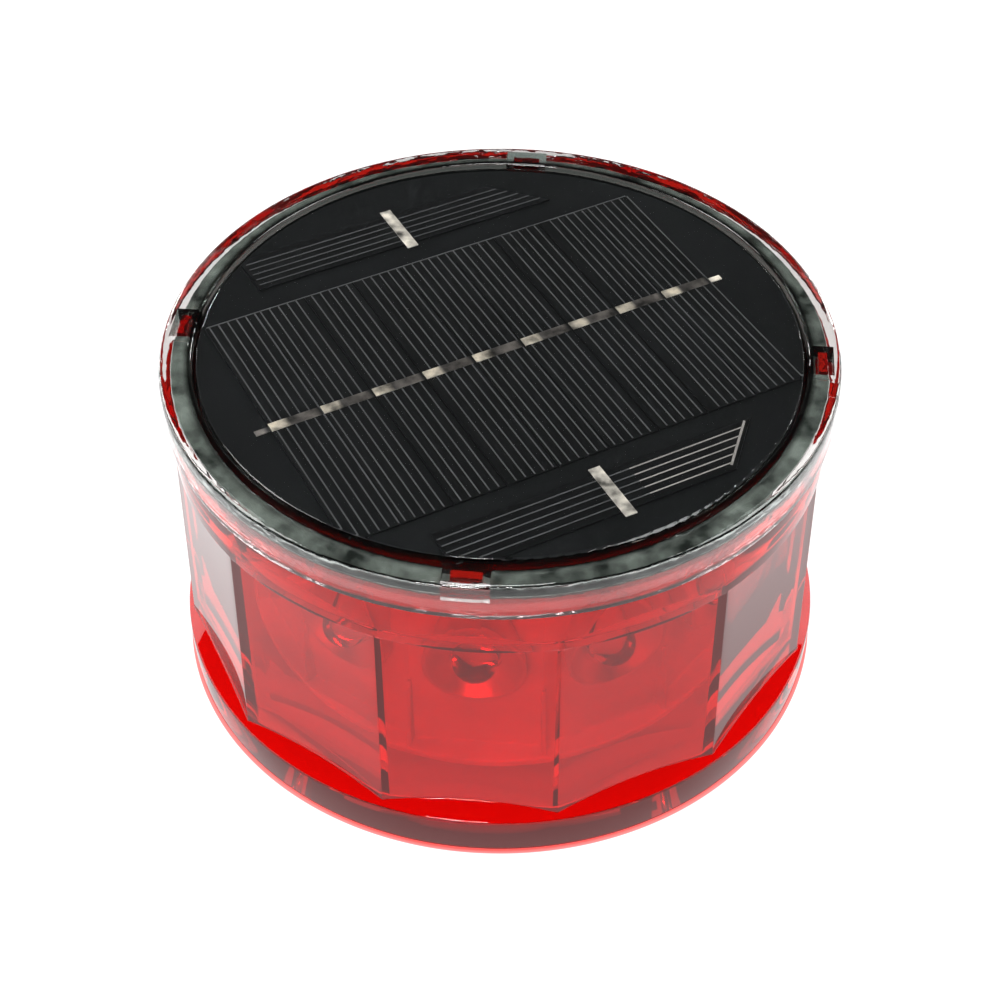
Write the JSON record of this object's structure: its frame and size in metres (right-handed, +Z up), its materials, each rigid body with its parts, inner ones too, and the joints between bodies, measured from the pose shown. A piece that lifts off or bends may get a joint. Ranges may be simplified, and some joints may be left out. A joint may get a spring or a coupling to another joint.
{
  "type": "barricade warning light",
  "caption": "Round solar warning light: red twelve-sided lens cup, clear snap cap over a black solar panel, LED drum inside, push switch and magnet underneath.",
  "frame": {"origin": "centre of the foot ring, on the surface that the light stands on", "axes": "+Z up; the front of the light faces -Y"},
  "size_m": [0.12, 0.12, 0.0665],
  "materials": {
    "red_lens": "clear red polycarbonate, polished",
    "clear_plastic": "clear polycarbonate, polished",
    "black_rubber": "matte",
    "panel_black": "black solder mask",
    "solar_cell": "dark blue-black silicon with silver fingers",
    "tinned_ribbon": "tinned copper",
    "clear_resin": "clear glossy resin",
    "foam_tape": "closed-cell foam",
    "drum_plastic": "dark grey moulded plastic",
    "reflector_chrome": "metallised plastic",
    "led_lens": "clear epoxy dome",
    "board_green": "green solder mask",
    "part_black": "moulded epoxy",
    "plug_white": "nylon",
    "coil_ferrite": "ferrite",
    "can_sleeve": "plain sleeve",
    "steel": "zinc plated",
    "nickel": "nickel strip",
    "wire_red": "insulated wire",
    "wire_black": "insulated wire",
    "battery_sleeve": "plain heat-shrink sleeve",
    "tray_plastic": "moulded plastic",
    "switch_plastic": "moulded plastic",
    "button_rubber": "soft-touch cap",
    "magnet": "nickel plated",
    "brass": "machined"
  },
  "bodies": {
    "lamp": {"battery_cell_1": "battery_sleeve", "battery_cell_2": "battery_sleeve", "battery_cell_3": "battery_sleeve", "battery_lead_black": "wire_black", "battery_lead_red": "wire_red", "battery_links": "nickel", "battery_tray": "tray_plastic", "board_screws": "steel", "charge_coil": "coil_ferrite", "clear_cover": "clear_plastic", "control_board": "board_green", "control_chip": "part_black", "cover_seal": "black_rubber", "drum_screws": "steel", "front_cell_ribbon": "tinned_ribbon", "front_side_cell": "solar_cell", "led_drum": "drum_plastic", "led_lamps": "led_lens", "led_reflectors": "reflector_chrome", "led_strip": "board_green", "lens_body": "red_lens", "magnet_cup": "steel", "magnet_ring": "magnet", "magnet_screw": "steel", "panel_lead_black": "wire_black", "panel_lead_red": "wire_red", "panel_plug": "plug_white", "panel_resin": "clear_resin", "panel_tape": "foam_tape", "rear_cell_ribbon": "tinned_ribbon", "rear_side_cell": "solar_cell", "row_ribbons": "tinned_ribbon", "solar_board": "panel_black", "solar_cell_1": "solar_cell", "solar_cell_2": "solar_cell", "solar_cell_3": "solar_cell", "solar_cell_4": "solar_cell", "solar_cell_5": "solar_cell", "solar_cell_6": "solar_cell", "solar_cell_7": "solar_cell", "solar_cell_8": "solar_cell", "solar_cell_9": "solar_cell", "storage_capacitor": "can_sleeve", "switch_gasket": "black_rubber", "switch_housing": "switch_plastic", "switch_nut": "steel", "switch_spring": "steel", "switch_terminals": "tinned_ribbon", "threaded_insert": "brass"},
    "button": {"switch_button": "button_rubber"}
  },
  "joints": [
    {"name": "button_press", "type": "slide", "parent": "lamp", "child": "button", "axis": [0, 0, 1], "range_m": [0, 0.0014], "stiffness_N_per_m": 600, "springref_m": -0.002, "deforming": ["switch_spring"]}
  ]
}
